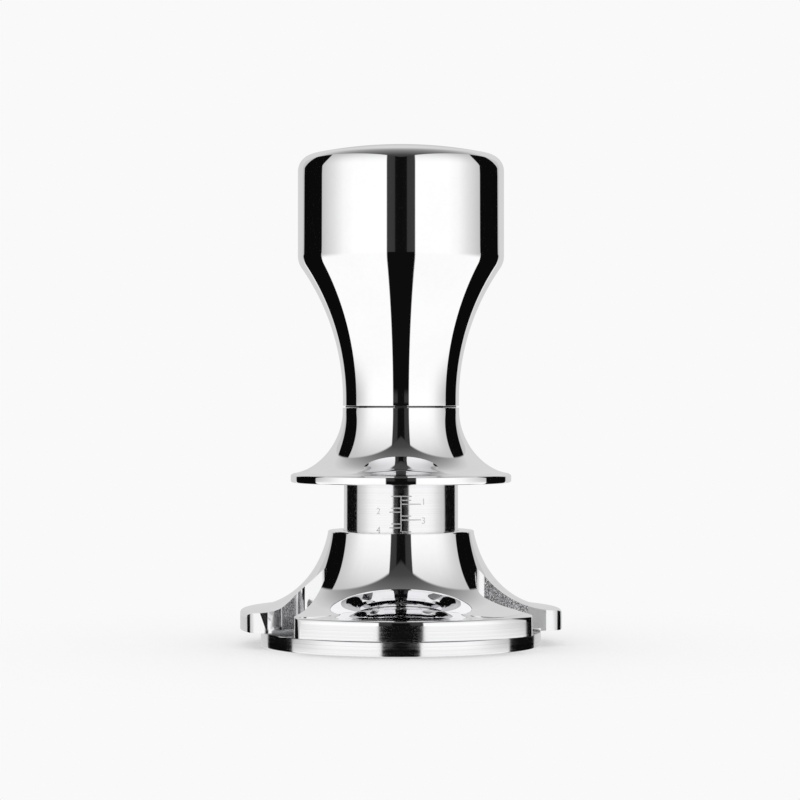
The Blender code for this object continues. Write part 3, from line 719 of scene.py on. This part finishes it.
def scale_marks():
    """The depth scale: a centre line, a mark each half unit to one side or the other, and numerals 1 to 4.
    right and left give how far each mark reaches, by its number of half units below the zero."""
    thin = MARK_HALF_WIDTH
    near = thin + MARK_GAP
    shapes = [
        mark_strip(-thin, thin, CENTRE_LINE_FOOT, SCALE_ZERO - near),
        mark_strip(-2.0, 2.2, SCALE_ZERO - thin, SCALE_ZERO + thin),
    ]
    right = {1: 2.1, 2: 4.2, 5: 2.1, 6: 4.2, 9: 2.1}
    left = {3: 2.0, 4: 2.4, 7: 2.0, 8: 2.4}
    for halves, reach in right.items():
        height = SCALE_ZERO - SCALE_HALF_UNIT * halves
        shapes.append(mark_strip(near, reach, height - thin, height + thin))
    for halves, reach in left.items():
        height = SCALE_ZERO - SCALE_HALF_UNIT * halves
        shapes.append(mark_strip(-reach, -near, height - thin, height + thin))
    for number, side in ((1, 1), (2, -1), (3, 1), (4, -1)):
        centre = (side * NUMERAL_REACH, NUMERAL_ZERO - NUMERAL_STEP * number)
        shapes.append(digit_shapes(number, centre, NUMERAL_SIZE))
    verts, faces, start = [], [], 0
    for some_verts, some_faces in shapes:
        verts.append(some_verts)
        faces += [[i + start for i in face] for face in some_faces]
        start += len(some_verts)
    mesh = bpy.data.meshes.new("scale_marks")
    mesh.from_pydata((np.concatenate(verts) * MM).tolist(), [], faces)
    clean(mesh, merge=True, outward=True)
    mesh.materials.append(MARK)
    piece = new_object("scale_marks", mesh)
    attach(piece, "bell")


def slot_outline(mouth_angle, steps=12):
    """Outline of one slot from above: parallel sides at a slant to the radius, an inner end with round
    corners, and a mouth whose fillets are tangent to the sides and to the petals' rim."""
    along = PETAL_RADIUS * np.cos(SLOT_SLANT)
    across = -PETAL_RADIUS * np.sin(SLOT_SLANT)
    half = SLOT_WIDTH / 2
    inner = np.sqrt(SLOT_INNER_RADIUS**2 - across**2) - along
    sides = []
    for side in (-1, 1):
        turn = np.linspace(pi / 2, 0, steps)
        corner_u, corner_v = inner + SLOT_CORNER, side * (half - SLOT_CORNER)
        round_corner = np.stack([-np.sin(turn), side * np.cos(turn)], 1)
        end = np.array([corner_u, corner_v]) + SLOT_CORNER * round_corner
        reach = PETAL_RADIUS - SLOT_MOUTH_FILLET
        fillet_v = side * (half + SLOT_MOUTH_FILLET)
        fillet_u = np.sqrt(reach**2 - (fillet_v + across) ** 2) - along
        outward = np.array([fillet_u + along, fillet_v + across]) / reach
        share = np.linspace(0, 1, steps)[:, None]
        lean = (1 - share) * np.array([0.0, -side]) + share * outward
        lean /= np.linalg.norm(lean, axis=1, keepdims=True)
        mouth = np.array([fillet_u, fillet_v]) + SLOT_MOUTH_FILLET * lean
        wall = np.linspace(end[-1], mouth[0], steps)[1:-1]
        half_outline = np.concatenate([end, wall, mouth, mouth[-1:] + CUTTER_OVERSHOOT * outward])
        sides.append(half_outline if side > 0 else half_outline[::-1])
    outline = np.concatenate(sides)
    heading = mouth_angle - pi / 2 + SLOT_SLANT
    middle = PETAL_RADIUS * np.array([np.cos(mouth_angle - pi / 2), np.sin(mouth_angle - pi / 2)])
    turned = np.array([[np.cos(heading), np.sin(heading)], [-np.sin(heading), np.cos(heading)]])
    return middle + outline @ turned


def slot_cutter(mouth_angle):
    """The slot's outline as a prism through the bell: milled along its walls, and polished round its ends."""
    outline = slot_outline(mouth_angle)
    count = len(outline)
    low = np.column_stack([outline, np.full(count, CUTTER_FOOT)])
    high = np.column_stack([outline, np.full(count, CUTTER_TOP)])
    i = np.arange(count)
    beside = (i + 1) % count
    faces = np.stack([i, beside, beside + count, i + count], 1).tolist()
    faces += [i.tolist(), (i + count).tolist()]
    mesh = bpy.data.meshes.new("slot_cutter")
    mesh.from_pydata((np.concatenate([low, high]) * MM).tolist(), [], faces)
    clean(mesh, outward=True)
    for material in (MIRROR, LINED, TURNED, MILLED, MARK):
        mesh.materials.append(material)
    heading = mouth_angle - pi / 2 + SLOT_SLANT
    middle = (outline + np.roll(outline, -1, 0)) / 2
    depth = middle @ [np.cos(heading), np.sin(heading)]
    aside = np.abs(middle @ [-np.sin(heading), np.cos(heading)] + PETAL_RADIUS * np.sin(SLOT_SLANT))
    finish = np.where(np.hypot(*middle.T) > SLOT_FROST_RADIUS, FROSTED_WALL, MILLED_WALL)
    at_inner_end = depth < depth.min() + SLOT_CORNER - 0.1
    in_mouth = aside > SLOT_WIDTH / 2 + 0.01
    finish[at_inner_end | in_mouth] = LINED_RUN
    mesh.polygons.foreach_set("material_index", np.append(finish, [MILLED_WALL] * 2).astype(np.int32))
    return new_object("slot_cutter", mesh)


def polish_normals(mesh, foot, top):
    """Sets the flare's shading normals from its formula, so that its mirror has no facets: in the
    (radius, height) plane the normal of r(z) is (1, -dr/dz)."""
    count = len(mesh.loops)
    normals = np.empty(count * 3, np.float32)
    mesh.corner_normals.foreach_get("vector", normals)
    normals = normals.reshape(-1, 3)
    of_loop = np.empty(count, np.int32)
    mesh.loops.foreach_get("vertex_index", of_loop)
    places = np.empty(len(mesh.vertices) * 3, np.float32)
    mesh.vertices.foreach_get("co", places)
    places = places.reshape(-1, 3)[of_loop].astype(float) / MM
    sizes = np.empty(len(mesh.polygons), np.int32)
    mesh.polygons.foreach_get("loop_total", sizes)
    finish = np.empty(len(mesh.polygons), np.int32)
    mesh.polygons.foreach_get("material_index", finish)
    polished = np.repeat(finish == POLISHED_RUN, sizes)
    radius = np.hypot(places[:, 0], places[:, 1])
    height = places[:, 2]
    expected = flare_radius(height, BELL_FLARE)
    on_flare = polished & (height > foot) & (height < top) & (np.abs(radius - expected) < FLARE_TOLERANCE)
    step = 0.01
    slope = (flare_radius(height + step, BELL_FLARE) - flare_radius(height - step, BELL_FLARE)) / (2 * step)
    ideal = np.stack([places[:, 0] / radius, places[:, 1] / radius, -slope], 1)
    ideal /= np.linalg.norm(ideal, axis=1, keepdims=True)
    normals[on_flare] = ideal[on_flare]
    mesh.normals_split_custom_set(normals.tolist())


def mirror_bell():
    """The levelling bell: a flare of superellipse section over a vertical rim, with three slanting slots."""
    flare_foot = BELL_FLARE[1] - BELL_FLARE[3] + 0.06
    start = float(flare_radius(BELL_TOP, BELL_FLARE))
    lip = rounded(
        [
            (BELL_COUNTERBORE + 0.15, BELL_TOP, 0),
            (start, BELL_TOP, LIP_FILLET),
            (start + 0.12, BELL_TOP - 0.3, 0),
        ]
    )
    flare = flare_run(BELL_FLARE, BELL_TOP - 0.32, flare_foot, BELL_FLARE_POINTS)
    edge = flare[-1]
    shoulder = rounded(
        [
            (*edge, 0),
            (PETAL_RADIUS, edge[1] - 0.1, SHOULDER_FILLET),
            (PETAL_RADIUS, PETAL_FACE_TOP - 0.2, 0),
        ]
    )[1:]
    rim = rounded(
        [
            (PETAL_RADIUS, PETAL_FACE_TOP - 0.25, 0),
            (PETAL_RADIUS, PETAL_UNDERSIDE, RIM_FILLET),
            (PETAL_RADIUS - 0.5, PETAL_UNDERSIDE, 0),
        ]
    )
    relief_top = PETAL_UNDERSIDE + BELL_RELIEF_DEPTH
    hub_foot, hub_top = BELL_HUB
    inside = np.array(
        [
            (LEDGE_RADIUS, PETAL_UNDERSIDE),
            (LEDGE_RADIUS, relief_top),
            (BELL_RELIEF_RADIUS, relief_top),
            (BELL_RELIEF_RADIUS, hub_foot),
            (BELL_HUB_BORE, hub_foot),
            (BELL_HUB_BORE, hub_top),
            (BELL_COUNTERBORE, hub_top),
            (BELL_COUNTERBORE, BELL_TOP - 0.15),
        ]
    )
    outside = np.concatenate([lip, flare, shoulder])
    runs = [(outside, POLISHED_RUN), (rim, LINED_RUN), (inside, INNER_RUN)]
    piece = turned_piece("mirror_bell", runs, FINE_STEPS)
    finish_turned(piece, (MILLED, MARK))
    for angle in SLOT_MOUTH_ANGLES:
        cutter = slot_cutter(angle)
        boolean = piece.modifiers.new("slot", "BOOLEAN")
        boolean.solver = "EXACT"
        boolean.object = cutter
        bpy.context.view_layer.update()
        cut = bpy.data.meshes.new_from_object(piece.evaluated_get(bpy.context.evaluated_depsgraph_get()))
        piece.modifiers.clear()
        piece.data = cut
        bpy.data.objects.remove(cutter)
    piece.data.shade_smooth()
    piece.data.set_sharp_from_angle(angle=CUT_CREASE)
    polish_normals(piece.data, flare_foot, BELL_TOP - 0.3)
    stands_for(piece, "bell", "levelling_bell")


def tamping_disc():
    """The base: a flat disc with turned lines on its rim, finely rounded edges and a short boss."""
    outer = rounded(
        [
            (BOSS_BORE, BOSS_TOP, 0),
            (BOSS_RADIUS, BOSS_TOP, BOSS_EDGE),
            (BOSS_RADIUS, BASE_THICKNESS, BOSS_FILLET),
            (BASE_RADIUS, BASE_THICKNESS, BASE_TOP_EDGE),
            (BASE_RADIUS, 0.0, BASE_FOOT_EDGE),
            (0.0, 0.0, 0),
            (0.0, BOSS_BORE_FOOT, 0),
            (BOSS_BORE, BOSS_BORE_FOOT, 0),
        ]
    )
    piece = turned_piece("tamping_disc", [(outer, LINED_RUN)])
    finish_turned(piece)
    stands_for(piece, "base", "tamping_base")


def springs():
    """Both springs: each rides on the body at one of its ends."""
    wound = spring("wound_main_spring", "main_spring", MAIN_SPRING_WIRE, MAIN_SPRING_TURNS)
    wound.data.materials.append(WIRE)
    stands_for(wound, "handle", "main_spring")
    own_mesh(wound)
    wound = spring(
        "wound_levelling_spring", "levelling_spring", LEVELLING_SPRING_WIRE, LEVELLING_SPRING_TURNS
    )
    wound.data.materials.append(WIRE)
    stands_for(wound, "leveller", "levelling_spring")
    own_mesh(wound)


def inner_pieces():
    """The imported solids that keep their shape, with a better finish."""
    finishes = {
        TURNED: ("centre_shaft", "levelling_spring_stop", "spring_piston", "shaft_nut", "spring_cap"),
        WIRE: ("stud_lock_washer", "shaft_circlip", "bush_circlip"),
        BRONZE: ("guide_bush",),
        NYLON: ("neck_bush", "thrust_washer"),
        RUBBER: ("base_bumper", "piston_ring", "seam_gasket", "sleeve_seal"),
    }
    for material, names in finishes.items():
        for name in names:
            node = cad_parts[name]
            node.data.materials.clear()
            node.data.materials.append(material)


# Studio


def camera():
    data = bpy.data.cameras.new("camera")
    data.sensor_width = SENSOR
    data.lens = SENSOR * CAMERA_DISTANCE / VIEW_WIDTH
    eye = new_object("camera", data)
    eye.location = (CAMERA_SIDE, -CAMERA_DISTANCE, CAMERA_HEIGHT)
    eye.rotation_euler = (pi / 2, 0.0, 0.0)
    bpy.context.scene.camera = eye


def ramp(tree, value, stops):
    """Straight grades between stops of (value, grey)."""
    node = tree.nodes.new("ShaderNodeValToRGB")
    elements = node.color_ramp.elements
    while len(elements) < len(stops):
        elements.new(0.5)
    for element, (place, grey) in zip(elements, stops):
        element.position = place
        element.color = (grey, grey, grey, 1.0)
    tree.links.new(value, node.inputs["Fac"])
    return node.outputs["Color"]


def blend_grey(tree, mask, first, second):
    """First where the mask is 0 and second where it is 1."""
    return math(tree, "ADD", first, math(tree, "MULTIPLY", mask, math(tree, "SUBTRACT", second, first)))


def soft_step(tree, value, low, high):
    """0 under the low end, rising smoothly to 1 at the high end."""
    node = tree.nodes.new("ShaderNodeMapRange")
    node.interpolation_type = "SMOOTHSTEP"
    node.inputs["From Min"].default_value = low
    node.inputs["From Max"].default_value = high
    tree.links.new(value, node.inputs["Value"])
    return node.outputs["Result"]


def below(tree, value, low, high):
    """1 under the low end, falling smoothly to 0 at the high end."""
    return math(tree, "SUBTRACT", 1.0, soft_step(tree, value, low, high))


def studio_world():
    """A light tent round the tamper, as the grey of each direction (x, y, z), where y points to the back.
    The walls' grey depends on the turn atan(|x| / (1 - y)) as a share of a quarter turn: white beside a dark
    gap in front, greyer towards a black flag on each side, and plain grey past the flag and behind. The flags
    lean and narrow on the way up, and end where z reaches about 1.4 of |x|. The roof is greyer, with a dark
    wedge over the middle that opens towards the back."""
    world = bpy.data.worlds.new("studio")
    world.use_nodes = True
    tree = world.node_tree
    place = tree.nodes.new("ShaderNodeTexCoord")
    split = tree.nodes.new("ShaderNodeSeparateXYZ")
    tree.links.new(place.outputs["Generated"], split.inputs[0])
    x = math(tree, "ABSOLUTE", split.outputs[0])
    y = split.outputs[1]
    z = split.outputs[2]
    back = math(tree, "SUBTRACT", 1.0, y)
    quarter = math(tree, "MULTIPLY", math(tree, "ARCTAN2", x, back), 2 / pi)
    rise = math(tree, "DIVIDE", z, math(tree, "MAXIMUM", x, SMALLEST_DIVISOR))
    steep = math(tree, "DIVIDE", z, math(tree, "MAXIMUM", back, SMALLEST_DIVISOR))
    lean = math(tree, "ADD", quarter, math(tree, "MULTIPLY", math(tree, "MAXIMUM", z, 0.0), FLAG_LEAN))
    lit = ramp(tree, quarter, WALL_TONES)
    wall = blend_grey(tree, soft_step(tree, z, -0.3, 0.0), WHITE_GROUND, lit)
    wall = blend_grey(tree, soft_step(tree, steep, 0.02, 1.2), wall, GREY_ROOF)
    wall = blend_grey(tree, soft_step(tree, lean, *BACK_EDGE), wall, GREY_BACK)
    taper = math(tree, "MULTIPLY", math(tree, "MAXIMUM", rise, 0.0), FLAG_TAPER)
    flag = math(tree, "MULTIPLY", soft_step(tree, lean, *FLAG_NEAR_EDGE), below(tree, rise, *FLAG_TOP_EDGE))
    flag = math(tree, "MULTIPLY", flag, below(tree, math(tree, "ADD", lean, taper), *FLAG_FAR_EDGE))
    wall = blend_grey(tree, flag, wall, BLACK_FLAG)
    gap_edge = ramp(tree, quarter, GAP_TONES)
    gap_tone = blend_grey(tree, soft_step(tree, z, -0.1, -0.02), BLACK_GAP, gap_edge)
    gap = math(tree, "MULTIPLY", below(tree, quarter, *GAP_EDGE), below(tree, y, *GAP_FADE))
    wall = blend_grey(tree, gap, wall, gap_tone)
    behind = math(tree, "MULTIPLY", soft_step(tree, y, 0.86, 0.96), below(tree, z, 0.0, 0.1))
    wall = blend_grey(tree, behind, wall, GREY_BACK)
    overhead = math(tree, "MAXIMUM", z, 0.05)
    depth = math(tree, "DIVIDE", y, overhead)
    width = math(tree, "ADD", math(tree, "MULTIPLY", depth, WEDGE_OPENING), WEDGE_WIDTH)
    reach = math(tree, "SUBTRACT", width, math(tree, "DIVIDE", x, overhead))
    wedge = math(tree, "MULTIPLY", soft_step(tree, reach, *WEDGE_SIDE_EDGE), soft_step(tree, z, 0.18, 0.3))
    wedge = math(tree, "MULTIPLY", wedge, soft_step(tree, depth, *WEDGE_FRONT_EDGE))
    wedge_tone = ramp(tree, math(tree, "ADD", math(tree, "MULTIPLY", depth, 0.5), 0.4), WEDGE_TONES)
    wall = blend_grey(tree, wedge, wall, wedge_tone)
    studio = tree.nodes["Background"]
    tree.links.new(wall, studio.inputs["Color"])
    studio.inputs["Strength"].default_value = TENT_STRENGTH
    plain = tree.nodes.new("ShaderNodeBackground")
    plain.inputs["Color"].default_value = (BACKDROP, BACKDROP, BACKDROP, 1.0)
    rays = tree.nodes.new("ShaderNodeLightPath")
    choose = tree.nodes.new("ShaderNodeMixShader")
    tree.links.new(rays.outputs["Is Glossy Ray"], choose.inputs[0])
    tree.links.new(plain.outputs[0], choose.inputs[1])
    tree.links.new(studio.outputs[0], choose.inputs[2])
    tree.links.new(choose.outputs[0], tree.nodes["World Output"].inputs["Surface"])
    bpy.context.scene.world = world


def studio_floor():
    """A pale floor that takes a soft shadow near the tamper and melts into the backdrop further out."""
    mesh = bpy.data.meshes.new("studio_floor")
    around = ((-1, -1), (1, -1), (1, 1), (-1, 1))
    corners = [(x * FLOOR_HALF, y * FLOOR_HALF, -FLOOR_DROP) for x, y in around]
    mesh.from_pydata(corners, [], [(0, 1, 2, 3)])
    material = bpy.data.materials.new("pale_floor")
    material.use_nodes = True
    tree = material.node_tree
    tree.nodes.remove(tree.nodes["Principled BSDF"])
    matt = tree.nodes.new("ShaderNodeBsdfDiffuse")
    matt.inputs["Color"].default_value = (1.0, 1.0, 1.0, 1.0)
    glow = tree.nodes.new("ShaderNodeEmission")
    glow.inputs["Color"].default_value = (BACKDROP, BACKDROP, BACKDROP, 1.0)
    place = tree.nodes.new("ShaderNodeTexCoord")
    length = tree.nodes.new("ShaderNodeVectorMath")
    length.operation = "LENGTH"
    tree.links.new(place.outputs["Object"], length.inputs[0])
    far = remap(tree, length.outputs["Value"], *FLOOR_FADE, *FLOOR_GLOW)
    choose = tree.nodes.new("ShaderNodeMixShader")
    tree.links.new(far, choose.inputs[0])
    tree.links.new(matt.outputs[0], choose.inputs[1])
    tree.links.new(glow.outputs[0], choose.inputs[2])
    tree.links.new(choose.outputs[0], tree.nodes["Material Output"].inputs["Surface"])
    mesh.materials.append(material)
    floor = new_object("studio_floor", mesh)
    floor.visible_glossy = False


camera()
studio_world()
studio_floor()
mirror_grip()
mirror_collar()
lined_sleeve()
scale_marks()
mirror_bell()
tamping_disc()
springs()
inner_pieces()
bpy.context.scene.view_settings.view_transform = "Standard"
